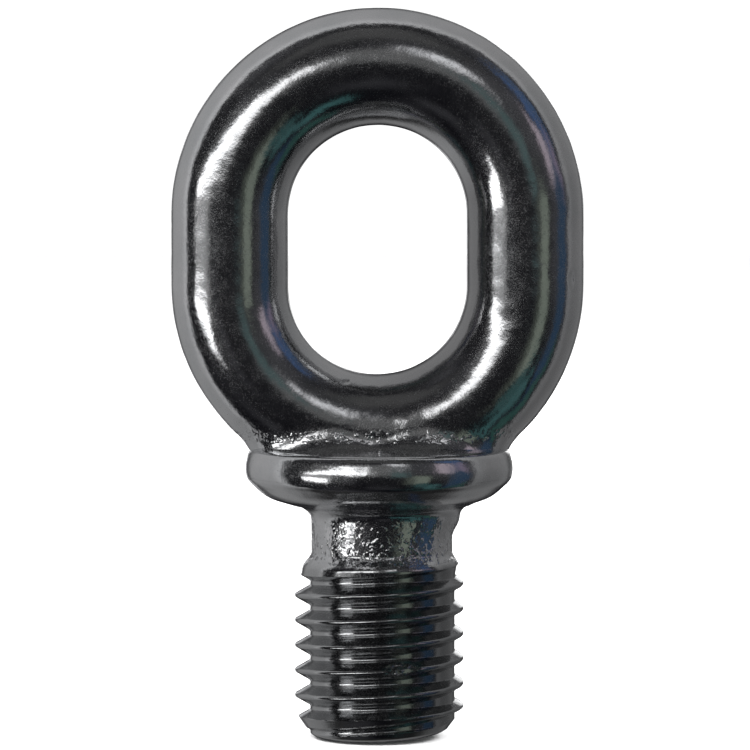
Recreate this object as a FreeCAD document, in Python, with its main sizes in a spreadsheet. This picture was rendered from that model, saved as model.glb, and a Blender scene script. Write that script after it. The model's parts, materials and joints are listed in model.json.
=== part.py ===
import FreeCAD, Part

import math
import os

import Sketcher
from FreeCAD import Placement, Rotation, Vector

# One-piece forged eye bolt: an oval eye on a rounded collar, a short neck and a
# right-handed coarse thread. The origin is on the bolt's axis, in the plane of the
# collar's seat. +Z points up through the eye, and the eye lies in the XZ plane.
# The four solids are the regions of one forging. They meet face to face on planes
# square to the axis: the collar's top, the foot of the neck's fillet, and the lower
# end of the neck.

# Driving dimensions, in millimetres, apart from the count of sectors.
SIZES = [
    ("bar_diameter", 8.15, "round bar of the eye"),
    ("opening_width", 12.5, "eye opening, across the axis"),
    ("opening_height", 17.4, "eye opening, along the axis"),
    ("eye_centre_height", 17.9, "seat up to the middle of the opening"),
    ("foot_spread", 1.3, "how far the eye's foot stands out of the bar, front and back"),
    ("foot_side_spread", 0.2, "how far it stands out at each side"),
    ("foot_height", 1.9, "collar's top up to where the foot has drawn in to the bar"),
    ("collar_diameter", 18.8, "widest part of the collar"),
    ("collar_height", 4.05, "seat up to the collar's flat top"),
    ("collar_top_edge", 0.4, "radius round the top of the collar"),
    ("collar_belly", 2.2, "radius round the collar's lower side"),
    ("collar_belly_height", 2.9, "seat up to where the lower side becomes upright"),
    ("seat_diameter", 13.2, "flat ring that the bolt seats on"),
    ("neck_diameter", 9.9, "plain neck"),
    ("neck_length", 3.2, "seat down to the neck's lower end"),
    ("neck_fillet", 0.6, "radius where the neck meets the seat"),
    ("thread_diameter", 11.85, "outside of the M12 thread, with its tolerance"),
    ("thread_pitch", 1.75, "M12 coarse"),
    ("thread_length", 13.1, "neck's lower end down to the end face"),
    ("thread_start", 0.48, "end face down to the groove's middle, on the +X side"),
    ("run_out_length", 1.9, "neck's lower end down to the full outside diameter"),
    ("end_chamfer", 1.7, "at 45 degrees"),
    ("crest_sectors", 12, "equal sectors that the thread's blank is turned in"),
]

# Sizes that several features share, as expressions on the sheet.
BAR_RADIUS = "Sizes.bar_diameter / 2"
EYE_RADIUS = "(Sizes.opening_width + Sizes.bar_diameter) / 2"
EYE_OUTER_RADIUS = "(Sizes.opening_width / 2 + Sizes.bar_diameter)"
EYE_STRAIGHT = "(Sizes.opening_height - Sizes.opening_width)"
LOWER_CENTRE = f"(Sizes.eye_centre_height - {EYE_STRAIGHT} / 2)"
UPPER_CENTRE = f"(Sizes.eye_centre_height + {EYE_STRAIGHT} / 2)"
COLLAR_RADIUS = "Sizes.collar_diameter / 2"
SEAT_RADIUS = "Sizes.seat_diameter / 2"
NECK_RADIUS = "Sizes.neck_diameter / 2"
THREAD_RADIUS = "Sizes.thread_diameter / 2"
END_HEIGHT = "(-Sizes.neck_length - Sizes.thread_length)"

# The collar's underside is a taper that touches the belly's arc.
BELLY_IN = f"({COLLAR_RADIUS} - Sizes.collar_belly - {SEAT_RADIUS})"
UNDERSIDE_ANGLE = (
    f"(atan2(Sizes.collar_belly_height; {BELLY_IN})"
    f" - asin(Sizes.collar_belly / sqrt(Sizes.collar_belly_height^2 + {BELLY_IN}^2)))"
)

# ISO metric thread: 60 degree flanks, crests an eighth of the pitch wide.
THREAD_DEPTH = "(0.6134 * Sizes.thread_pitch)"
ROOT_RADIUS = f"({THREAD_RADIUS} - {THREAD_DEPTH})"
ROOT_HALF_WIDTH = f"(Sizes.thread_pitch * 7 / 16 - {THREAD_DEPTH} * tan(30 deg))"
CUTTER_PROUD = 0.1  # how far the groove's cutter stands out of the crest
CUTTER_RADIUS = f"({THREAD_RADIUS} + {CUTTER_PROUD})"
CUTTER_HALF_WIDTH = f"(Sizes.thread_pitch * 7 / 16 + {CUTTER_PROUD} * tan(30 deg))"
# The groove starts a pitch below its first root, clear of the end face, and ends at
# the back of the run-out, where the blank is little wider than the root.
GROOVE_START = f"({END_HEIGHT} - Sizes.thread_start - Sizes.thread_pitch)"
GROOVE_ROOM = "(Sizes.thread_length + Sizes.thread_start + Sizes.thread_pitch)"
GROOVE_TURNS = f"(floor({GROOVE_ROOM} / Sizes.thread_pitch - 0.45) + 0.25)"

START, END = 1, 2  # the end points of a sketched line or arc
ORIGIN = -1  # the sketch's origin point belongs to its horizontal axis


def make_sheet(doc):
    sheet = doc.addObject("Spreadsheet::Sheet", "Sizes")
    for row, (alias, value, note) in enumerate(SIZES, 1):
        sheet.set(f"A{row}", alias)
        sheet.set(f"B{row}", str(value))
        sheet.set(f"C{row}", note)
        sheet.setAlias(f"B{row}", alias)
    doc.recompute()
    return sheet


def number(sheet, expression):
    result = sheet.evalExpression(expression)
    return float(getattr(result, "Value", result))


def bind(sketch, constraint, expression):
    index = sketch.addConstraint(constraint)
    sketch.setExpression(f"Constraints[{index}]", expression)


def arc_between(start, end, radius, centre_on_left):
    """Arc under half a turn; sketched arcs run anticlockwise about their centre."""
    chord = end - start
    square = Vector(-chord.y, chord.x, 0).normalize()
    reach = math.sqrt(radius**2 - (chord.Length / 2) ** 2)
    centre = (start + end) * 0.5 + square * (reach if centre_on_left else -reach)
    ends = (start, end) if centre_on_left else (end, start)
    first, last = (math.atan2(point.y - centre.y, point.x - centre.x) for point in ends)
    if last < first:
        last += 2 * math.pi
    return Part.ArcOfCircle(Part.Circle(centre, Vector(0, 0, 1), radius), first, last)


def section(body, sheet, name, corners, bends=None):
    """Closed outline in the body's XZ plane, run anticlockwise through the corners.

    Each corner is a pair of expressions, across and up. bends turns the line that
    leaves a corner into an arc: corner number to radius and whether it bulges out.
    """
    bends = bends or {}
    plane = next(p for p in body.Origin.OriginFeatures if p.Role == "XZ_Plane")
    sketch = body.newObject("Sketcher::SketchObject", name)
    sketch.AttachmentSupport = [(plane, "")]
    sketch.MapMode = "FlatFace"
    points = [Vector(number(sheet, across), number(sheet, up), 0) for across, up in corners]
    ends = []
    for edge, (start, end) in enumerate(zip(points, points[1:] + points[:1])):
        radius, bulges_out = bends.get(edge, (None, True))
        if radius:
            sketch.addGeometry(arc_between(start, end, number(sheet, radius), bulges_out))
        else:
            sketch.addGeometry(Part.LineSegment(start, end))
        ends.append((START, END) if bulges_out else (END, START))
    for edge, (across, up) in enumerate(corners):
        before = edge - 1 if edge else len(corners) - 1
        here = (edge, ends[edge][0])
        sketch.addConstraint(Sketcher.Constraint("Coincident", before, ends[before][1], *here))
        for kind, expression in (("DistanceX", across), ("DistanceY", up)):
            value = number(sheet, expression)
            constraint = Sketcher.Constraint(kind, ORIGIN, START, *here, value)
            bind(sketch, constraint, expression)
    for edge, (radius, _) in bends.items():
        bind(sketch, Sketcher.Constraint("Radius", edge, number(sheet, radius)), radius)
    return sketch


def revolve(body, sketch, name, angle=360):
    turned = body.newObject("PartDesign::Revolution", name)
    turned.Profile = sketch
    turned.ReferenceAxis = (sketch, ["V_Axis"])
    turned.Angle = angle
    return turned


def sized(doc, kind, name, **sizes):
    """A Part primitive with its sizes bound to expressions."""
    piece = doc.addObject(kind, name)
    for size, expression in sizes.items():
        piece.setExpression(size, expression)
    return piece


def make_foot(doc):
    """Three ovals, widest on the collar's top, that draw in to the lower arch."""
    levels = [
        # height above the collar's top, share of the spread, share of the bar's section
        ("0", 1.0, 1.0),
        ("Sizes.foot_height * 0.3", 0.45, 1.0),
        ("Sizes.foot_height", 0.0, 0.96),
    ]
    ovals = []
    for index, (rise, spread, share) in enumerate(levels):
        height = f"(Sizes.collar_height + {rise})"
        reach = f"sqrt({EYE_OUTER_RADIUS}^2 - ({LOWER_CENTRE} - {height})^2)"
        oval = sized(
            doc,
            "Part::Ellipse",
            f"foot_oval_{index}",
            MajorRadius=f"{reach} * {share} + Sizes.foot_side_spread * {spread}",
            MinorRadius=f"{BAR_RADIUS} * {share} + Sizes.foot_spread * {spread}",
        )
        oval.setExpression("Placement.Base.z", height)
        ovals.append(oval)
    foot = doc.addObject("Part::Loft", "foot")
    foot.Sections = ovals
    foot.Solid = True
    return foot


def make_eye(doc):
    """Two half rings and two straight legs of round bar, cut off at the collar's top."""
    pieces = [make_foot(doc)]
    for side, centre, turn in (("upper", UPPER_CENTRE, 90), ("lower", LOWER_CENTRE, -90)):
        arch = sized(doc, "Part::Torus", f"{side}_arch", Radius1=EYE_RADIUS, Radius2=BAR_RADIUS)
        arch.Angle3 = 180
        arch.Placement = Placement(Vector(), Rotation(Vector(1, 0, 0), turn))
        arch.setExpression("Placement.Base.z", centre)
        pieces.append(arch)
    for side, sign in (("left", "-"), ("right", "")):
        leg = sized(doc, "Part::Cylinder", f"{side}_leg", Radius=BAR_RADIUS, Height=EYE_STRAIGHT)
        leg.setExpression("Placement.Base.x", f"{sign}{EYE_RADIUS}")
        leg.setExpression("Placement.Base.z", LOWER_CENTRE)
        pieces.append(leg)
    whole = doc.addObject("Part::MultiFuse", "whole_eye")
    whole.Shapes = pieces
    buried = sized(
        doc, "Part::Cylinder", "buried", Radius=EYE_OUTER_RADIUS, Height="Sizes.eye_centre_height"
    )
    buried.setExpression("Placement.Base.z", "Sizes.collar_height - Sizes.eye_centre_height")
    eye = doc.addObject("Part::Cut", "eye")
    eye.Base = whole
    eye.Tool = buried
    return eye


def make_collar(doc, sheet):
    """Rounded bead with a flat top, a tapered underside and the neck's fillet."""
    body = doc.addObject("PartDesign::Body", "collar")
    belly_centre = f"({COLLAR_RADIUS} - Sizes.collar_belly)"
    corners = [
        ("0", "-Sizes.neck_fillet"),
        (NECK_RADIUS, "-Sizes.neck_fillet"),
        (f"{NECK_RADIUS} + Sizes.neck_fillet", "0"),
        (SEAT_RADIUS, "0"),
        (
            f"{belly_centre} + Sizes.collar_belly * sin({UNDERSIDE_ANGLE})",
            f"Sizes.collar_belly_height - Sizes.collar_belly * cos({UNDERSIDE_ANGLE})",
        ),
        (COLLAR_RADIUS, "Sizes.collar_belly_height"),
        (COLLAR_RADIUS, "Sizes.collar_height - Sizes.collar_top_edge"),
        (f"{COLLAR_RADIUS} - Sizes.collar_top_edge", "Sizes.collar_height"),
        ("0", "Sizes.collar_height"),
    ]
    bends = {
        1: ("Sizes.neck_fillet", False),
        4: ("Sizes.collar_belly", True),
        6: ("Sizes.collar_top_edge", True),
    }
    revolve(body, section(body, sheet, "collar_section", corners, bends), "collar_turned")
    return body


def make_neck(doc, sheet):
    """Plain round neck between the fillet under the collar and the thread."""
    body = doc.addObject("PartDesign::Body", "neck")
    corners = [
        ("0", "-Sizes.neck_length"),
        (NECK_RADIUS, "-Sizes.neck_length"),
        (NECK_RADIUS, "-Sizes.neck_fillet"),
        ("0", "-Sizes.neck_fillet"),
    ]
    revolve(body, section(body, sheet, "neck_section", corners), "neck_turned")
    return body


def make_threaded_end(doc, sheet):
    """Blank that widens from the neck and is chamfered at the end, with the thread cut.

    The blank is turned in equal sectors and they aren't merged, so that each stretch
    of the thread's crest is a short piece of cylinder that can be measured by itself.
    """
    body = doc.addObject("PartDesign::Body", "threaded_end")
    corners = [
        ("0", END_HEIGHT),
        (f"{THREAD_RADIUS} - Sizes.end_chamfer", END_HEIGHT),
        (THREAD_RADIUS, f"{END_HEIGHT} + Sizes.end_chamfer"),
        (THREAD_RADIUS, "-Sizes.neck_length - Sizes.run_out_length"),
        (NECK_RADIUS, "-Sizes.neck_length"),
        ("0", "-Sizes.neck_length"),
    ]
    blank = section(body, sheet, "blank_section", corners)
    sector = revolve(body, blank, "blank_sector")
    sector.setExpression("Angle", "360 / Sizes.crest_sectors")
    doc.recompute()
    sectors = body.newObject("PartDesign::PolarPattern", "blank_sectors")
    sectors.Originals = [sector]
    sectors.Axis = (blank, ["V_Axis"])
    sectors.Angle = 360
    sectors.setExpression("Occurrences", "Sizes.crest_sectors")
    sectors.Refine = False
    body.Tip = sectors
    doc.recompute()
    blank_volume = sectors.Shape.Volume

    groove_corners = [
        (ROOT_RADIUS, f"{GROOVE_START} - {ROOT_HALF_WIDTH}"),
        (CUTTER_RADIUS, f"{GROOVE_START} - {CUTTER_HALF_WIDTH}"),
        (CUTTER_RADIUS, f"{GROOVE_START} + {CUTTER_HALF_WIDTH}"),
        (ROOT_RADIUS, f"{GROOVE_START} + {ROOT_HALF_WIDTH}"),
    ]
    groove = section(body, sheet, "groove_section", groove_corners)
    doc.recompute()
    thread = body.newObject("PartDesign::SubtractiveHelix", "thread")
    thread.Profile = groove
    thread.ReferenceAxis = (groove, ["V_Axis"])
    thread.Mode = "pitch-height-angle"
    thread.setExpression("Pitch", "Sizes.thread_pitch")
    thread.setExpression("Height", f"{GROOVE_TURNS} * Sizes.thread_pitch")
    thread.Refine = False
    doc.recompute()
    if thread.Shape.Volume > 0.95 * blank_volume:
        raise ValueError("the thread's groove cut nothing")
    return body


def check(doc, nodes):
    for item in doc.Objects:
        if {"Invalid", "Error"} & set(item.State):
            raise ValueError(f"{item.Label} failed: {item.State}")
    for node in nodes:
        if node.Shape.isNull() or not node.Shape.isValid():
            raise ValueError(f"{node.Label} has no valid shape")
        if len(node.Shape.Solids) != 1:
            raise ValueError(f"{node.Label} is {len(node.Shape.Solids)} solids")


def main():
    doc = FreeCAD.newDocument("eye_bolt")
    sheet = make_sheet(doc)
    nodes = [
        make_eye(doc),
        make_collar(doc, sheet),
        make_neck(doc, sheet),
        make_threaded_end(doc, sheet),
    ]
    doc.recompute()
    check(doc, nodes)
    os.makedirs("parts", exist_ok=True)
    for node in nodes:
        node.Shape.exportStep(f"parts/{node.Label}.step")


main()
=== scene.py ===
"""A drop-forged, bright-plated lifting eye bolt: ring and foot, collar, neck and threaded end.

Lengths are in metres, written as millimetres times MM. The bolt's axis is Z with the collar's
seat near z = 0, the ring lies in the XZ plane, and the front faces -Y.
"""

import json
import math

import bmesh
import bpy
from mathutils import Matrix, Vector, noise


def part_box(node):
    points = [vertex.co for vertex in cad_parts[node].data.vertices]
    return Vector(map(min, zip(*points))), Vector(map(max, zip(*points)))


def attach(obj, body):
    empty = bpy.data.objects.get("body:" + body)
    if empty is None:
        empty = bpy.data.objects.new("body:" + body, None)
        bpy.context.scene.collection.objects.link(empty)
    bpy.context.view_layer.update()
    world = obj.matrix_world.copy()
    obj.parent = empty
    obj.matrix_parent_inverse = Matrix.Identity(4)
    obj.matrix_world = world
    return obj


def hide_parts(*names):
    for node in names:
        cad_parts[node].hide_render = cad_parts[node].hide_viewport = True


MM = 0.001
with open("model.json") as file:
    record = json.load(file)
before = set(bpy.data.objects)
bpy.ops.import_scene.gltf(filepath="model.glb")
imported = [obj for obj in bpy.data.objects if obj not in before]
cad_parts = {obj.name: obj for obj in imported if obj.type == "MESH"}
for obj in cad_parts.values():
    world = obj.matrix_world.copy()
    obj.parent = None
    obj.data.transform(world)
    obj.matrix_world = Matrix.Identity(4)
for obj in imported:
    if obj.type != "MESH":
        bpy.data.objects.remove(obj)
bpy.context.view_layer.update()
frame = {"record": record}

# ---------------------------------------------------------------- sizes taken from the frame

_, EYE_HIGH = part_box("eye")
_, COLLAR_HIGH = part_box("collar")
NECK_LOW, NECK_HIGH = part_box("neck")
THREAD_LOW, THREAD_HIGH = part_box("threaded_end")
EYE_CENTRE = next(m for m in frame["record"]["mounts"] if m["name"] == "eye")["pos_m"][2]

OUTER_RADIUS = EYE_HIGH.x
BAR_RADIUS = 4.075 * MM
RING_RADIUS = OUTER_RADIUS - BAR_RADIUS
UPPER_CENTRE = EYE_HIGH.z - OUTER_RADIUS
LOWER_CENTRE = 2 * EYE_CENTRE - UPPER_CENTRE

COLLAR_TOP = COLLAR_HIGH.z
COLLAR_RADIUS = COLLAR_HIGH.x
NECK_RADIUS = NECK_HIGH.x
NECK_TOP = NECK_HIGH.z
NECK_END = NECK_LOW.z
THREAD_RADIUS = THREAD_HIGH.x
THREAD_END = THREAD_LOW.z


# ---------------------------------------------------------------- rises and outlines

def smooth_step(low, high, value):
    """0 at low and 1 at high, with a smooth rise between them; low may be above high."""
    share = min(1.0, max(0.0, (value - low) / (high - low)))
    return share * share * (3 - 2 * share)


def plateau(rise_from, rise_to, fall_from, fall_to, value):
    """1 between rise_to and fall_from, fading smoothly to 0 at rise_from and fall_to."""
    return smooth_step(rise_from, rise_to, value) * smooth_step(fall_to, fall_from, value)


def straight(start, end, step):
    """Evenly spaced points after start, up to end."""
    pieces = max(1, math.ceil((end - start).length / step))
    return [start.lerp(end, i / pieces) for i in range(1, pieces + 1)]


def outline(corners, step):
    """Points along straight runs joined by tangent arcs; each corner is (radius, height, bend)."""
    places = [Vector((radius, height)) for radius, height, _ in corners]
    bends = [bend for _, _, bend in corners[1:-1]]
    points = [places[0]]
    for before, here, after, bend in zip(places, places[1:], places[2:], bends):
        come, leave = (here - before).normalized(), (after - here).normalized()
        turn = come.angle_signed(leave)
        start = here - come * (bend * math.tan(abs(turn) / 2))
        side = Vector((come.y, -come.x)) if turn > 0 else Vector((-come.y, come.x))
        centre = start + side * bend
        arm = start - centre
        points += straight(points[-1], start, step)
        pieces = max(3, math.ceil(abs(turn) * arm.length / step))
        for i in range(1, pieces + 1):
            points.append(centre + arm @ Matrix.Rotation(turn * i / pieces, 2))
    return points + straight(points[-1], places[-1], step)


# ---------------------------------------------------------------- mesh helpers

CUT_SNAP = 0.002 * MM
TURNED_WELD = 0.001 * MM


def everything(mesh):
    """All of a mesh's vertices, edges and faces, as the mesh operators take them."""
    return mesh.verts[:] + mesh.edges[:] + mesh.faces[:]


def draw(mesh, points):
    """Edges joining points of (radius, height) in the XZ plane."""
    verts = [mesh.verts.new((p.x, 0, p.y)) for p in points]
    return verts + [mesh.edges.new(pair) for pair in zip(verts, verts[1:])]


def turned(corners, step, sectors):
    """A solid of revolution about Z from an outline that starts and ends on the axis."""
    mesh = bmesh.new()
    profile = draw(mesh, outline(corners, step))
    bmesh.ops.spin(mesh, geom=profile, cent=(0, 0, 0), axis=(0, 0, 1), angle=math.tau,
                   steps=sectors, use_merge=True)
    bmesh.ops.remove_doubles(mesh, verts=mesh.verts, dist=TURNED_WELD)
    bmesh.ops.recalc_face_normals(mesh, faces=mesh.faces)
    return mesh


def cut_level(mesh, height, keep_above, snap=CUT_SNAP):
    """Cuts a mesh level at a height, keeps one side and leaves the cut open."""
    bmesh.ops.bisect_plane(mesh, geom=everything(mesh), dist=snap, plane_co=(0, 0, height),
                           plane_no=(0, 0, -1 if keep_above else 1), clear_outer=True)


def close_holes(mesh):
    """Fills each open rim with a fan of triangles."""
    rims = [e for e in mesh.edges if e.is_boundary]
    bmesh.ops.poke(mesh, faces=bmesh.ops.edgeloop_fill(mesh, edges=rims)["faces"])
    bmesh.ops.recalc_face_normals(mesh, faces=mesh.faces)


# ---------------------------------------------------------------- a forging's uneven skin

SKIN_WAVES = ((5 * MM, 3, 0.5), (1.6 * MM, 7, 0.42), (0.62 * MM, 11, 0.17))  # size, seed, weight
CROWN_LEAN, CROWN_LEAN_FROM, CROWN_LEAN_TO = 0.09 * MM, 22 * MM, 34 * MM
SHANK_LEAN, SHANK_LEAN_FROM, SHANK_LEAN_TO = 0.12 * MM, 10 * MM, 2 * MM
WAIST_LEAN, WAIST_BAND = 0.19 * MM, (-5 * MM, -3.6 * MM, -0.9 * MM, 0.2 * MM)
NICK_WAVE, NICK_SEED, NICK_LEVEL = 0.3 * MM, 17, 0.7


def waves(place, size, seed):
    """Smooth noise of about plus or minus one, with hills of the given size."""
    return noise.noise(place / size + Vector((seed, -seed, 2 * seed)))


def sway(height):
    """How far the forging leans sideways at a height: the crown a little, the waist the most."""
    return (CROWN_LEAN * smooth_step(CROWN_LEAN_FROM, CROWN_LEAN_TO, height)
            + SHANK_LEAN * smooth_step(SHANK_LEAN_FROM, SHANK_LEAN_TO, height)
            + WAIST_LEAN * plateau(*WAIST_BAND, height))


def forge(mesh, depth):
    """Presses a forging's uneven, slightly leaning skin into a mesh, depth(place) deep."""
    mesh.normal_update()
    moves = []
    for vert in mesh.verts:
        hills = sum(weight * waves(vert.co, size, seed) for size, seed, weight in SKIN_WAVES)
        moves.append(vert.normal * hills * depth(vert.co) + Vector((sway(vert.co.z), 0, 0)))
    for vert, move in zip(mesh.verts, moves):
        vert.co += move


def nick(mesh, centre, half_sizes, depth):
    """Dents the skin in an uneven oval."""
    for vert in mesh.verts:
        away = vert.co - centre
        nearness = 1 - sum((a / size) ** 2 for a, size in zip(away, half_sizes))
        if nearness > 0:
            unevenness = NICK_LEVEL + waves(vert.co, NICK_WAVE, NICK_SEED)
            vert.co -= vert.normal * depth * nearness * unevenness


def finish_piece(mesh, name, node, material, sharp_angle=50):
    """Turns a mesh into a smooth-shaded piece that stands for one node of the frame."""
    mesh.normal_update()
    for face in mesh.faces:
        face.smooth = True
    for edge in mesh.edges:
        joined = len(edge.link_faces) == 2
        edge.smooth = joined and edge.calc_face_angle() < math.radians(sharp_angle)
    data = bpy.data.meshes.new(name)
    mesh.to_mesh(data)
    mesh.free()
    piece = bpy.data.objects.new(name, data)
    bpy.context.scene.collection.objects.link(piece)
    data.materials.append(material)
    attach(piece, "root")
    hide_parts(node)
    return piece


# ---------------------------------------------------------------- ring and foot

SECTION_POINTS = 128
QUARTER_STEPS = 80
HALF_LEG_STEPS = 12
RING_WELD = 0.01 * MM
HALVINGS = 40

FOOT_TOP = 6.4 * MM
FOOT_BOTTOM = COLLAR_TOP - 0.1 * MM
FOOT_LOOPS = 36
FOOT_SNAP = 0.02 * MM
FOOT_FLARE, CORNER_FLARE = 1.1 * MM, 0.75 * MM  # heights that the flare takes
SIDE_SPREAD, FRONT_SPREAD, CORNER_SPREAD = 0.45 * MM, 0.55 * MM, 0.7 * MM

RING_SKIN, FOOT_SKIN = 0.035 * MM, 0.03 * MM
FOOT_SKIN_FROM, FOOT_SKIN_TO = 9 * MM, 5 * MM
SIDE_NICK = Vector((13.5, -3.0, 15.9)) * MM
SIDE_NICK_SIZE, SIDE_NICK_DEPTH = Vector((0.22, 1.2, 0.65)) * MM, 0.12 * MM
FRONT_NICK = Vector((-2.2, -2.6, 8.75)) * MM
FRONT_NICK_SIZE, FRONT_NICK_DEPTH = Vector((0.35, 1.4, 0.16)) * MM, 0.10 * MM


def oval_ring():
    """A round bar bent to an oval: a quarter swept from half a leg to the crown, mirrored twice."""
    mesh = bmesh.new()
    bmesh.ops.create_circle(mesh, segments=SECTION_POINTS, radius=BAR_RADIUS,
                            matrix=Matrix.Translation((RING_RADIUS, 0, EYE_CENTRE)))
    ends = mesh.verts[:] + mesh.edges[:]
    half_leg = UPPER_CENTRE - EYE_CENTRE
    for centre, angle, rise, steps in ((0, 0, half_leg, HALF_LEG_STEPS),
                                       (UPPER_CENTRE, math.pi / 2, 0, QUARTER_STEPS)):
        ends = bmesh.ops.spin(mesh, geom=ends, cent=(0, 0, centre), axis=(0, -1, 0), angle=angle,
                              dvec=(0, 0, rise / steps), steps=steps)["geom_last"]
    for axis in "XZ":
        bmesh.ops.mirror(mesh, geom=everything(mesh), axis=axis, merge_dist=RING_WELD,
                         matrix=Matrix.Translation((0, 0, -EYE_CENTRE)))
    bmesh.ops.remove_doubles(mesh, verts=mesh.verts, dist=RING_WELD)
    bmesh.ops.recalc_face_normals(mesh, faces=mesh.faces)
    return mesh


def bar_reach(cosine, sine, height):
    """How far the lower arc's skin is from the Z axis, in a direction and at a height."""
    near, far = 0.0, OUTER_RADIUS
    for _ in range(HALVINGS):
        middle = (near + far) / 2
        from_centre = math.hypot(middle * cosine, height - LOWER_CENTRE) - RING_RADIUS
        if math.hypot(from_centre, middle * sine) < BAR_RADIUS:
            near = middle
        else:
            far = middle
    return near


def foot_reach(cosine, sine, height):
    """The bar's reach, spread towards the collar: least at the sides and most at the corners."""
    corner = (2 * sine * cosine) ** 2
    spread = SIDE_SPREAD * cosine ** 2 + FRONT_SPREAD * sine ** 2 + CORNER_SPREAD * corner
    share = max(0.0, 1 - (height - FOOT_BOTTOM) / (FOOT_FLARE + CORNER_FLARE * corner))
    return bar_reach(cosine, sine, height) + spread * share * share


def ring_and_foot(material):
    """The ring, cut level above the collar and drawn down from there as a spreading foot."""
    mesh = oval_ring()
    cut_level(mesh, FOOT_TOP, keep_above=True, snap=FOOT_SNAP)
    rim = [e for e in mesh.edges if e.is_boundary]
    for level in range(1, FOOT_LOOPS + 1):
        height = FOOT_TOP + (FOOT_BOTTOM - FOOT_TOP) * level / FOOT_LOOPS
        rim = [g for g in bmesh.ops.extrude_edge_only(mesh, edges=rim)["geom"]
               if isinstance(g, bmesh.types.BMEdge) and g.is_boundary]
        for vert in {v for e in rim for v in e.verts}:
            cosine, sine = Vector(vert.co.xy).normalized()
            reach = foot_reach(cosine, sine, height)
            vert.co = (reach * cosine, reach * sine, height)
    close_holes(mesh)
    forge(mesh, lambda place: RING_SKIN + FOOT_SKIN * smooth_step(FOOT_SKIN_FROM, FOOT_SKIN_TO,
                                                                  place.z))
    nick(mesh, SIDE_NICK, SIDE_NICK_SIZE, SIDE_NICK_DEPTH)
    nick(mesh, FRONT_NICK, FRONT_NICK_SIZE, FRONT_NICK_DEPTH)
    return finish_piece(mesh, "eye_ring", "eye", material)


# ---------------------------------------------------------------- collar

SECTORS = 288
SKIN_STEP = 0.16 * MM
COLLAR_SKIN = 0.03 * MM

CROWN_RADIUS, CROWN_RISE, CROWN_BEND = 5.4 * MM, 0.22 * MM, 3 * MM
EDGE_INSET, EDGE_BEND = 0.32 * MM, 0.65 * MM
BEAD_BULGE, BEAD_HEIGHT, BEAD_BEND = 0.04 * MM, 2.55 * MM, 2.3 * MM
UNDER_INSET, UNDER_HEIGHT, UNDER_BEND = 0.2 * MM, 1.8 * MM, 1.2 * MM
TAPER_RADIUS, TAPER_HEIGHT, TAPER_BEND = 7.9 * MM, 0.6 * MM, 3 * MM
SEAT_RADIUS, SEAT_HEIGHT, SEAT_BEND = 6.1 * MM, 0.06 * MM, 2 * MM
SEAT_DROP, NECK_BEND = 0.2 * MM, 1.0 * MM

FRONT_DROP, DROP_FROM, DROP_TO = 0.25 * MM, 0.5 * MM, 2 * MM
FULL_SIDE, FULL_SIDE_BAND = 0.5 * MM, (-2.2 * MM, -0.8 * MM, -0.2 * MM, 0.4 * MM)


def drop_front_and_back(vert):
    """Lets the collar droop a little towards the front and the back."""
    front = vert.co.y / COLLAR_RADIUS
    vert.co.z -= FRONT_DROP * front * front * smooth_step(DROP_FROM, DROP_TO, vert.co.z)


def fill_right_side(vert):
    """Makes the fillet between collar and neck fuller on the +X side."""
    reach = vert.co.xy.length
    if reach > NECK_RADIUS / 2 and vert.co.x > 0:
        side = (vert.co.x / reach) ** 2
        vert.co.xy *= 1 + FULL_SIDE * side * plateau(*FULL_SIDE_BAND, vert.co.z) / reach


def collar_and_neck():
    """One outline turned for the collar's bead, its seat, the fillet below it and the neck."""
    mesh = turned([
        (0, COLLAR_TOP + CROWN_RISE, 0),
        (CROWN_RADIUS, COLLAR_TOP + CROWN_RISE, CROWN_BEND),
        (COLLAR_RADIUS - EDGE_INSET, COLLAR_TOP, EDGE_BEND),
        (COLLAR_RADIUS + BEAD_BULGE, BEAD_HEIGHT, BEAD_BEND),
        (COLLAR_RADIUS - UNDER_INSET, UNDER_HEIGHT, UNDER_BEND),
        (TAPER_RADIUS, TAPER_HEIGHT, TAPER_BEND),
        (SEAT_RADIUS, SEAT_HEIGHT, SEAT_BEND),
        (NECK_RADIUS, -SEAT_DROP, NECK_BEND),
        (NECK_RADIUS, NECK_END, 0),
        (0, NECK_END, 0),
    ], SKIN_STEP, SECTORS)
    for vert in mesh.verts:
        drop_front_and_back(vert)
        fill_right_side(vert)
    return mesh


def collar(material):
    """A bead with a slightly domed top, a rounded underside and the start of the fillet."""
    mesh = collar_and_neck()
    cut_level(mesh, NECK_TOP, keep_above=True)
    close_holes(mesh)
    forge(mesh, lambda place: COLLAR_SKIN)
    return finish_piece(mesh, "collar_bead", "collar", material)


# ---------------------------------------------------------------- neck

NECK_SKIN = 0.05 * MM


def neck(material):
    """The rough round waist between the collar and the thread."""
    mesh = collar_and_neck()
    cut_level(mesh, NECK_TOP, keep_above=False)
    close_holes(mesh)
    forge(mesh, lambda place: NECK_SKIN)
    return finish_piece(mesh, "neck_waist", "neck", material)


# ---------------------------------------------------------------- threaded end

PITCH = 1.75 * MM
THREAD_DEPTH = 0.6134 * PITCH
CREST_WIDTH = PITCH / 8
FLANK_HEIGHT = THREAD_DEPTH * math.tan(math.radians(30))
HALF_ROOT = PITCH / 2 - CREST_WIDTH / 2 - FLANK_HEIGHT
ROOT_RADIUS = THREAD_RADIUS - THREAD_DEPTH
ROOT_HEIGHT = -6.28 * MM  # the middle of a groove on the +X side
CREST_BEND, ROOT_BEND = 0.2 * MM, 0.16 * MM
PROFILE_STEP = 0.06 * MM
TURN_STEPS = 180
SPARE_TURNS = 3
THREAD_WELD = 0.004 * MM

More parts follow.
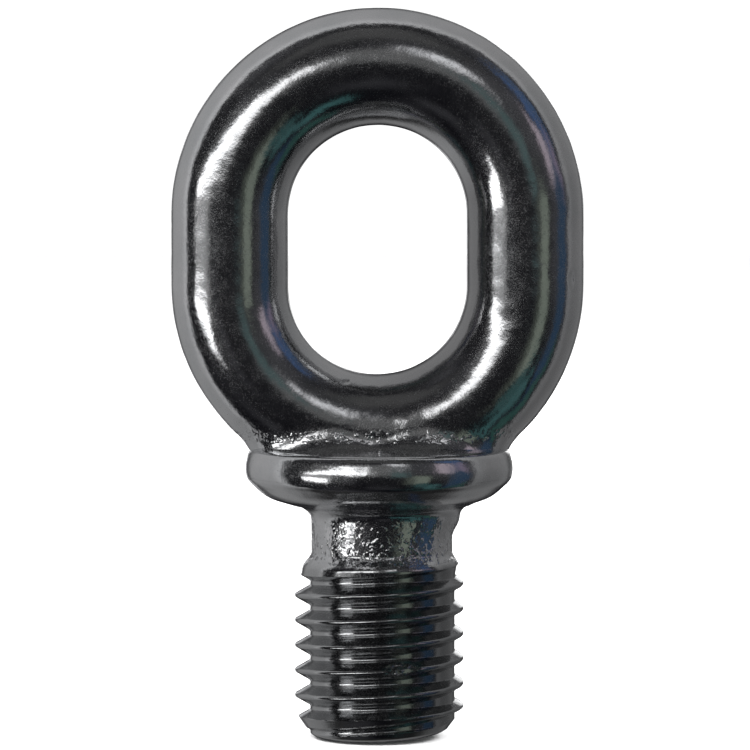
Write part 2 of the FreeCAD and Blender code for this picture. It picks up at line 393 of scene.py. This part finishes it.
SHOULDER_STEP, SHOULDER_LOW = 0.52 * MM, -4.3 * MM
CREST_FROM, CREST_TO = -4.7 * MM, -5.3 * MM
RUN_OUT_START, RUN_OUT_END = 0.85, 1.35  # in turns up the groove from ROOT_HEIGHT
CHAMFER_HEIGHT, CHAMFER_DEPTH = 1.9 * MM, 1.3 * MM
END_ROUND_HEIGHT, END_ROUND = CHAMFER_HEIGHT / 6, 0.35 * MM
END_TILT, TILT_FROM = 0.04, -13 * MM
SIDE_FILL = 0.45 * MM

THREAD_SKIN, SHOULDER_SKIN = 0.02 * MM, 0.03 * MM
SHOULDER_SKIN_FROM, SHOULDER_SKIN_TO = -5 * MM, -3.4 * MM
THREAD_SCUFF = Vector((1.7, -5.6, -10.9)) * MM
SCUFF_SIZE, SCUFF_DEPTH = Vector((1.5, 1.2, 0.5)) * MM, 0.22 * MM


def long_thread():
    """A right-handed thread, one turn swept and then repeated, cut level at both ends."""
    mesh = bmesh.new()
    turns = math.ceil((NECK_END - THREAD_END) / PITCH) + SPARE_TURNS
    below = math.ceil((ROOT_HEIGHT - THREAD_END) / PITCH + SPARE_TURNS / 2)
    start = ROOT_HEIGHT - PITCH * below
    profile = draw(mesh, outline([
        (ROOT_RADIUS, start, 0),
        (ROOT_RADIUS, start + HALF_ROOT, ROOT_BEND),
        (THREAD_RADIUS, start + HALF_ROOT + FLANK_HEIGHT, CREST_BEND),
        (THREAD_RADIUS, start + PITCH - HALF_ROOT - FLANK_HEIGHT, CREST_BEND),
        (ROOT_RADIUS, start + PITCH - HALF_ROOT, ROOT_BEND),
        (ROOT_RADIUS, start + PITCH, 0),
    ], PROFILE_STEP))
    bmesh.ops.spin(mesh, geom=profile, cent=(0, 0, 0), axis=(0, 0, 1), angle=math.tau,
                   dvec=(0, 0, PITCH / TURN_STEPS), steps=TURN_STEPS)
    turn = everything(mesh)
    for _ in range(turns - 1):
        turn = bmesh.ops.duplicate(mesh, geom=turn)["geom"]
        bmesh.ops.translate(mesh, vec=(0, 0, PITCH),
                            verts=[g for g in turn if isinstance(g, bmesh.types.BMVert)])
    bmesh.ops.remove_doubles(mesh, verts=mesh.verts, dist=THREAD_WELD)
    cut_level(mesh, NECK_END, keep_above=False)
    cut_level(mesh, THREAD_END, keep_above=True)
    return mesh


def blank_radius(height):
    """The blank's radius: a rounded shoulder below the neck, full size, then the end's chamfer."""
    crest_step = THREAD_RADIUS - NECK_RADIUS - SHOULDER_STEP
    upper = (NECK_RADIUS + SHOULDER_STEP * smooth_step(NECK_END, SHOULDER_LOW, height)
             + crest_step * smooth_step(CREST_FROM, CREST_TO, height))
    above_end = max(0.0, height - THREAD_END)
    chamfer = CHAMFER_DEPTH * max(0.0, 1 - above_end / CHAMFER_HEIGHT)
    rounding = END_ROUND * max(0.0, 1 - above_end / END_ROUND_HEIGHT) ** 2
    return min(upper, THREAD_RADIUS - chamfer - rounding)


def threaded_end(material):
    """The thread with its run-out below the neck, a chamfered end and a scuffed front."""
    mesh = long_thread()
    for vert in mesh.verts:
        reach = vert.co.xy.length
        angle = math.atan2(vert.co.y, vert.co.x) / math.tau % 1
        wound = angle + round((vert.co.z - ROOT_HEIGHT) / PITCH - angle)
        groove = 1 - smooth_step(RUN_OUT_START, RUN_OUT_END, wound)
        blank = blank_radius(vert.co.z)
        filled = max(reach, ROOT_RADIUS + SIDE_FILL * max(0.0, vert.co.x / reach) ** 2)
        vert.co.xy *= (blank - groove * max(0.0, blank - filled)) / reach
        tilt = END_TILT * smooth_step(TILT_FROM, THREAD_END, vert.co.z)
        vert.co.z += tilt * (vert.co.x + THREAD_RADIUS)
    close_holes(mesh)
    forge(mesh, lambda place: THREAD_SKIN + SHOULDER_SKIN * smooth_step(SHOULDER_SKIN_FROM,
                                                                        SHOULDER_SKIN_TO, place.z))
    nick(mesh, THREAD_SCUFF, SCUFF_SIZE, SCUFF_DEPTH)
    return finish_piece(mesh, "thread", "threaded_end", material)


# ---------------------------------------------------------------- shader helpers

class Amount:
    """A number in a node tree, so that maths on it reads as an expression."""

    def __init__(self, tree, socket):
        self.tree, self.socket = tree, socket

    def __add__(self, other):
        return self.tree.maths("ADD", self, other)

    def __radd__(self, other):
        return self.tree.maths("ADD", other, self)

    def __sub__(self, other):
        return self.tree.maths("SUBTRACT", self, other)

    def __rsub__(self, other):
        return self.tree.maths("SUBTRACT", other, self)

    def __mul__(self, other):
        return self.tree.maths("MULTIPLY", self, other)

    def __rmul__(self, other):
        return self.tree.maths("MULTIPLY", other, self)

    def __truediv__(self, other):
        return self.tree.maths("DIVIDE", self, other)


class Tree:
    """A material's or the world's nodes."""

    def __init__(self, owner):
        owner.use_nodes = True
        self.nodes, self.links = owner.node_tree.nodes, owner.node_tree.links
        self.nodes.clear()

    def add(self, kind, settings=None, inputs=None):
        """Adds a node: its settings first, then the values or links of its sockets."""
        node = self.nodes.new(kind)
        for name, value in (settings or {}).items():
            setattr(node, name, value)
        for name, value in (inputs or {}).items():
            if isinstance(value, Amount):
                value = value.socket
            if isinstance(value, bpy.types.NodeSocket):
                self.links.new(value, node.inputs[name])
            else:
                node.inputs[name].default_value = value
        return node

    def amount(self, node, output=0):
        return Amount(self, node.outputs[output])

    def maths(self, operation, *values):
        node = self.add("ShaderNodeMath", {"operation": operation}, dict(enumerate(values)))
        return self.amount(node)

    def split(self, vector):
        """The three numbers of a vector."""
        node = self.add("ShaderNodeSeparateXYZ", None, {0: vector})
        return tuple(self.amount(node, i) for i in range(3))

    def noise(self, place, size, detail=2.0, roughness=0.5):
        """Noise from 0 to 1, with features of the given size."""
        node = self.add("ShaderNodeTexNoise", {"normalize": True},
                        {"Vector": place, "Scale": 1 / size, "Detail": detail,
                         "Roughness": roughness})
        return self.amount(node, "Fac")

    def distance(self, place, point):
        """How far a place is from a point."""
        node = self.add("ShaderNodeVectorMath", {"operation": "DISTANCE"}, {0: place, 1: point})
        return self.amount(node, "Value")

    def ramp(self, value, low, high, start=0.0, end=1.0):
        """Smoothly maps low..high to start..end; low may be above high."""
        node = self.add("ShaderNodeMapRange", {"interpolation_type": "SMOOTHSTEP"},
                        {"Value": value, "From Min": low, "From Max": high,
                         "To Min": start, "To Max": end})
        return self.amount(node)

    def plateau(self, value, rise_from, rise_to, fall_from, fall_to):
        """1 between rise_to and fall_from, fading smoothly to 0 at rise_from and fall_to."""
        return self.ramp(value, rise_from, rise_to) * self.ramp(value, fall_to, fall_from)

    def mix(self, share, first, second):
        """A colour between two colours."""
        node = self.add("ShaderNodeMix", {"data_type": "RGBA"},
                        {"Factor": share, 6: first, 7: second})
        return node.outputs[2]


# ---------------------------------------------------------------- materials

PATCH_SIZE, BLOTCH_SIZE, GRAIN_SIZE = 4 * MM, 0.9 * MM, 0.16 * MM
PEEL_SIZE, DENT_SIZE, PECK_SIZE = 1.1 * MM, 0.5 * MM, 0.36 * MM
PALE_RANGE, DULL_RANGE, WORN_RANGE = (0.3, 0.7), (0.45, 0.75), (0.35, 0.75)
SPARKLE_RANGE, PECK_RANGE = (0.48, 0.72), (0.48, 0.78)

NECK_BAND = (-4.4 * MM, -3.6 * MM, -1.0 * MM, -0.2 * MM)
LOW_NECK_BAND = (-4.0 * MM, -3.3 * MM, -2.9 * MM, -1.8 * MM)
FOOT_BAND = (3.6 * MM, 4.2 * MM, 5.2 * MM, 8 * MM)
FOOT_LINE_BAND = (4.5 * MM, 4.7 * MM, 4.9 * MM, 5.7 * MM)
SCUFF_REACH = (1.5 * MM, 0.5 * MM)
# Where the painted shade round the eye's hole lies: its heights, its reach from the axis and its
# rise towards +X.
INSIDE_SHADE_BAND = (4.5 * MM, 6 * MM, 21 * MM, 25 * MM)
INSIDE_SHADE_REACH, INSIDE_SHADE_ACROSS = (7.9 * MM, 7.2 * MM), (-6 * MM, 4 * MM)
# The second pair sets where the painted shade on the thread's +X side rises.
THREAD_FADE, THREAD_SHADE_ACROSS = (-3.6 * MM, -4.6 * MM), (1 * MM, 5 * MM)

RELIEF_HEIGHT = 0.02 * MM
PEEL_RELIEF, GRAIN_RELIEF = 0.9, 0.30
NECK_DENTS, FOOT_DENTS = 1.6, 0.9
NECK_PECKS, LOW_NECK_PECKS, FOOT_LINE_PECKS, SCUFF_PECKS = 1.2, 2.4, 2.0, 3.5

PALE_PLATE, DULL_PLATE = (0.60, 0.60, 0.61, 1), (0.53, 0.54, 0.55, 1)
# Painted shade round the eye's hole, standing in for the dimmer reflections there.
PAINTED_INSIDE_SHADE = (0.30, 0.30, 0.305, 1)
# The second colour on the next line is painted shade for the thread's +X side.
THREAD_PLATE, THREAD_SIDE_SHADE = (0.38, 0.385, 0.39, 1), (0.24, 0.245, 0.25, 1)
THREAD_SHARE = 0.85

CLEAR_ROUGHNESS, DULL_ROUGHNESS, SPARKLE_ROUGHNESS = 0.06, 0.04, 0.10
HAZY_ROUGHNESS = 0.34
LEAST_HAZE, WORN_HAZE, SPARKLE_HAZE = 0.06, 0.14, 0.22


def plating_relief(tree, place, height, grain):
    """Orange peel and grain all over; dents and pecks on the neck, the foot and the scuff."""
    peel = tree.noise(place, PEEL_SIZE)
    dents = tree.noise(place, DENT_SIZE, 2.0, 0.55)
    pecks = tree.ramp(tree.noise(place, PECK_SIZE, 1.0), *PECK_RANGE)
    on_scuff = tree.ramp(tree.distance(place, THREAD_SCUFF), *SCUFF_REACH)
    on_neck = tree.plateau(height, *NECK_BAND)
    on_low_neck = tree.plateau(height, *LOW_NECK_BAND)
    on_foot = tree.plateau(height, *FOOT_BAND)
    on_foot_line = tree.plateau(height, *FOOT_LINE_BAND)
    dented = on_neck * NECK_DENTS + on_foot * FOOT_DENTS
    pecked = (on_neck * NECK_PECKS + on_low_neck * LOW_NECK_PECKS
              + on_foot_line * FOOT_LINE_PECKS + on_scuff * SCUFF_PECKS)
    return peel * PEEL_RELIEF + grain * GRAIN_RELIEF + dents * dented + pecks * pecked


def plating_colour_and_shade(tree, across, height, patches):
    """Pale and a little patchy; darker on the thread; with painted shade round the eye's hole and
    on the thread's +X side.
    """
    on_axis = tree.maths("MINIMUM", tree.maths("MAXIMUM", height, LOWER_CENTRE), UPPER_CENTRE)
    rise = height - on_axis
    from_axis = tree.maths("SQRT", across * across + rise * rise)
    # Painted shade: darker round the eye's hole, and more so towards +X.
    inside_shade = (tree.ramp(from_axis, *INSIDE_SHADE_REACH) * tree.plateau(height, *INSIDE_SHADE_BAND)
              * tree.ramp(across, *INSIDE_SHADE_ACROSS))
    on_thread = tree.ramp(height, *THREAD_FADE)
    # Painted shade: the thread darker on its +X side.
    thread_side_shade = on_thread * tree.ramp(across, *THREAD_SHADE_ACROSS)
    colour = tree.mix(tree.ramp(patches, *PALE_RANGE), PALE_PLATE, DULL_PLATE)
    colour = tree.mix(inside_shade, colour, PAINTED_INSIDE_SHADE)
    colour = tree.mix(on_thread * THREAD_SHARE, colour, THREAD_PLATE)
    return tree.mix(thread_side_shade, colour, THREAD_SIDE_SHADE)


def bright_plating():
    """Bright plating over a forged skin: near-mirror under a haze, with duller worn places."""
    material = bpy.data.materials.new("bright_plating")
    tree = Tree(material)
    place = tree.add("ShaderNodeTexCoord").outputs["Object"]
    across, _, height = tree.split(place)
    patches = tree.noise(place, PATCH_SIZE, 3.0, 0.6)
    blotches = tree.noise(place, BLOTCH_SIZE, 4.0, 0.7)
    grain = tree.noise(place, GRAIN_SIZE, 3.0, 0.7)
    bump = tree.add("ShaderNodeBump", None, {
        "Strength": 1.0, "Distance": RELIEF_HEIGHT,
        "Height": plating_relief(tree, place, height, grain)})
    colour = plating_colour_and_shade(tree, across, height, patches)
    sparkle = tree.ramp(grain, *SPARKLE_RANGE)
    dull = tree.ramp(patches, *DULL_RANGE) * DULL_ROUGHNESS + sparkle * SPARKLE_ROUGHNESS
    clear, hazy = [tree.add("ShaderNodeBsdfPrincipled", None, {
        "Base Color": colour, "Metallic": 1.0, "Roughness": roughness,
        "Normal": bump.outputs[0]}) for roughness in (CLEAR_ROUGHNESS + dull, HAZY_ROUGHNESS)]
    haze = LEAST_HAZE + tree.ramp(blotches, *WORN_RANGE) * WORN_HAZE + sparkle * SPARKLE_HAZE
    shader = tree.add("ShaderNodeMixShader", None,
                      {0: haze, 1: clear.outputs[0], 2: hazy.outputs[0]})
    tree.add("ShaderNodeOutputMaterial", None, {"Surface": shader.outputs[0]})
    return material


def pale_floor():
    """Plain matt white."""
    material = bpy.data.materials.new("pale_floor")
    tree = Tree(material)
    shader = tree.add("ShaderNodeBsdfDiffuse", None, {"Color": (0.9, 0.9, 0.9, 1)})
    tree.add("ShaderNodeOutputMaterial", None, {"Surface": shader.outputs[0]})
    return material


# ---------------------------------------------------------------- what the bolt reflects

DOME = (1.12, 1.12, 1.12, 1)
BLACK, WHITE = (0, 0, 0, 1), (1.0, 1.0, 1.01, 1)
DARK_WALL, GREY_WALL = (0.006, 0.006, 0.008, 1), (0.05, 0.05, 0.055, 1)
WALL_PATCH, WALL_RANGE = 0.7, (0.4, 0.7)

# The pale surround: its level, how that changes to the right and upwards, and how much
# brighter it is beside the bolt than far behind it. The ranges are in the direction's y or z.
SURROUND, SURROUND_RIGHT, SURROUND_UP = 0.326, -0.144, 0.115
BESIDE_GAIN, BEHIND_LOSS, BEHIND = 1.42, 0.46, (0.04, 0.30)
UNDERSIDE, UNDERSIDE_LEVEL = (-0.86, -0.68), 0.1
ROOM_EDGE, DIM_MIDDLE = (-0.03, 0.07), (0.78, 0.97)

# Each card is left, right, low, high, softness and colour; its edges are slopes, sideways and
# upwards for each unit straight ahead. A later card lies over an earlier one.
LEAST_AHEAD, FULL_AHEAD = 0.02, 0.06
LIGHT_CARDS = (
    # dim walls and ceiling
    (-3.0, -0.80, -0.35, 0.75, 0.25, (0.09, 0.09, 0.09)),
    (-0.75, 0.25, 0.12, 0.6, 0.10, (0.12, 0.12, 0.12)),
    (-1.2, 0.8, 1.3, 5.0, 0.40, (0.06, 0.06, 0.06)),
    (-2.5, -0.85, -0.15, 0.25, 0.15, (0.33, 0.33, 0.33)),
    # bright softboxes: a wide and a narrow one at the left, a small one at the right, a low one
    (-2.3, -0.40, 0.22, 0.47, 0.06, (2.8, 2.8, 2.8)),
    (-0.42, -0.15, 0.18, 0.42, 0.06, (2.0, 2.0, 2.0)),
    (0.15, 0.42, 0.5, 0.8, 0.12, (1.1, 1.1, 1.12)),
    (-2.6, -1.10, -0.5, -0.12, 0.08, (3.6, 3.6, 3.6)),
    # green tints at the right
    (0.20, 0.46, 0.05, 0.36, 0.06, (0.075, 0.12, 0.12)),
    (0.40, 0.56, -0.45, 0.05, 0.06, (0.058, 0.067, 0.056)),
    (0.56, 1.00, -0.45, 0.12, 0.06, (0.20, 0.23, 0.19)),
    (0.62, 0.98, -0.85, -0.42, 0.08, (0.035, 0.085, 0.085)),
    (0.42, 1.50, -2.0, -1.25, 0.15, (0.05, 0.13, 0.13)),
    (0.95, 1.50, -1.25, -0.70, 0.12, (0.05, 0.12, 0.12)),
    (2.2, 9.0, -9.0, -2.2, 0.60, (0.03, 0.08, 0.07)),
    # pink, violet and blue tints at the far right
    (1.30, 2.6, 0.35, 1.0, 0.12, (0.45, 0.38, 0.43)),
    (2.6, 9.0, 0.5, 2.2, 0.30, (0.22, 0.18, 0.25)),
    (1.9, 3.6, 1.2, 2.8, 0.25, (0.05, 0.10, 0.22)),
    (3.6, 8.0, 2.6, 5.5, 0.40, (0.05, 0.10, 0.20)),
    (2.2, 12.0, -2.0, 0.9, 0.5, (0.026, 0.055, 0.10)),
)
REAR_CARDS = (
    (0.06, 0.32, 0.02, 0.30, 0.06, (1.8, 1.8, 1.8)),
    (0.00, 0.40, -0.14, 0.02, 0.06, (0.25, 0.25, 0.25)),
    (-0.30, -0.14, -0.25, 0.20, 0.05, (0.9, 0.9, 0.92)),
)


def room(tree, direction, x, y, z):
    """A dim, patchy room in front, and a pale surround behind with a dim middle."""
    level = SURROUND + SURROUND_RIGHT * x + SURROUND_UP * z
    level *= BESIDE_GAIN - tree.ramp(y, *BEHIND) * BEHIND_LOSS
    level *= tree.ramp(z, *UNDERSIDE, UNDERSIDE_LEVEL)
    patches = tree.ramp(tree.noise(direction, WALL_PATCH, 1.0), *WALL_RANGE)
    dim = tree.mix(patches, DARK_WALL, GREY_WALL)
    pale = tree.mix(tree.ramp(y, *DIM_MIDDLE), tree.mix(level, BLACK, WHITE), dim)
    return tree.mix(tree.ramp(y, *ROOM_EDGE), dim, pale)


def hang_cards(tree, shade, facing, x, z, cards):
    """Lays soft-edged cards over the room, on the side where facing is positive."""
    ahead = tree.maths("MAXIMUM", facing, LEAST_AHEAD)
    across, up = x / ahead, z / ahead
    for left, right, low, high, soft, colour in cards:
        mask = (tree.plateau(across, left - soft, left + soft, right - soft, right + soft)
                * tree.plateau(up, low - soft, low + soft, high - soft, high + soft)
                * tree.ramp(facing, LEAST_AHEAD, FULL_AHEAD))
        shade = tree.mix(mask, shade, (*colour, 1))
    return shade


def studio_world():
    """The room and its cards for what the bolt reflects, and an even white for all else."""
    world = bpy.data.worlds.new("studio")
    bpy.context.scene.world = world
    tree = Tree(world)
    direction = tree.add("ShaderNodeTexCoord").outputs["Generated"]
    x, y, z = tree.split(direction)
    shade = room(tree, direction, x, y, z)
    shade = hang_cards(tree, shade, 0.0 - y, x, z, LIGHT_CARDS)
    shade = hang_cards(tree, shade, y, x, z, REAR_CARDS)
    reflected = tree.add("ShaderNodeLightPath").outputs["Is Glossy Ray"]
    background = tree.add("ShaderNodeBackground", None,
                          {"Color": tree.mix(reflected, DOME, shade), "Strength": 1.0})
    tree.add("ShaderNodeOutputWorld", None, {"Surface": background.outputs[0]})


# ---------------------------------------------------------------- floor, lights and camera

FLOOR_SIZE = 60.0
SOFTBOX_SIZE = 0.8
SOFTBOXES = (("key_softbox", (-0.8, -0.9, 1.2), 40), ("fill_softbox", (0.9, -0.5, 1.0), 25))
CAMERA_DISTANCE = 250 * MM
SENSOR = 36.0
FOCAL_PER_METRE = 0.6864 / MM
CLIP_NEAR, CLIP_FAR = 0.01, 20
VIEW_DROP = 8.77 * MM
VIEW_OFFSET = -0.17 * MM


def floor():
    """A large plain floor under the bolt's end, left out of the plating's reflections."""
    mesh = bmesh.new()
    bmesh.ops.create_grid(mesh, x_segments=1, y_segments=1, size=FLOOR_SIZE / 2,
                          matrix=Matrix.Translation((0, 0, THREAD_END)))
    data = bpy.data.meshes.new("floor")
    mesh.to_mesh(data)
    mesh.free()
    data.materials.append(pale_floor())
    ground = bpy.data.objects.new("floor", data)
    bpy.context.scene.collection.objects.link(ground)
    ground.visible_glossy = False


def aim(thing, target):
    """Turns a light or the camera to look at a point."""
    thing.rotation_euler = (target - thing.location).to_track_quat("-Z", "Y").to_euler()


def soft_light(name, place, power):
    """A square softbox aimed at the middle of the eye, kept out of reflections."""
    data = bpy.data.lights.new(name, "AREA")
    data.shape, data.size, data.energy = "SQUARE", SOFTBOX_SIZE, power
    light = bpy.data.objects.new(name, data)
    bpy.context.scene.collection.objects.link(light)
    light.location = place
    aim(light, Vector((0, 0, EYE_CENTRE)))
    light.visible_glossy = False
    light.visible_camera = False


def camera():
    """A long lens level with the eye's centre, tipped down a little to take in the thread."""
    data = bpy.data.cameras.new("camera")
    data.sensor_width = SENSOR
    data.lens = FOCAL_PER_METRE * CAMERA_DISTANCE
    data.clip_start, data.clip_end = CLIP_NEAR, CLIP_FAR
    view = bpy.data.objects.new("camera", data)
    bpy.context.scene.collection.objects.link(view)
    view.location = (VIEW_OFFSET, -CAMERA_DISTANCE, EYE_CENTRE)
    aim(view, Vector((VIEW_OFFSET, 0, EYE_CENTRE - VIEW_DROP)))
    bpy.context.scene.camera = view


# ---------------------------------------------------------------- the bolt and its studio

plating = bright_plating()
ring_and_foot(plating)
collar(plating)
neck(plating)
threaded_end(plating)
studio_world()
floor()
for softbox in SOFTBOXES:
    soft_light(*softbox)
camera()
bpy.context.scene.view_settings.view_transform = "Standard"
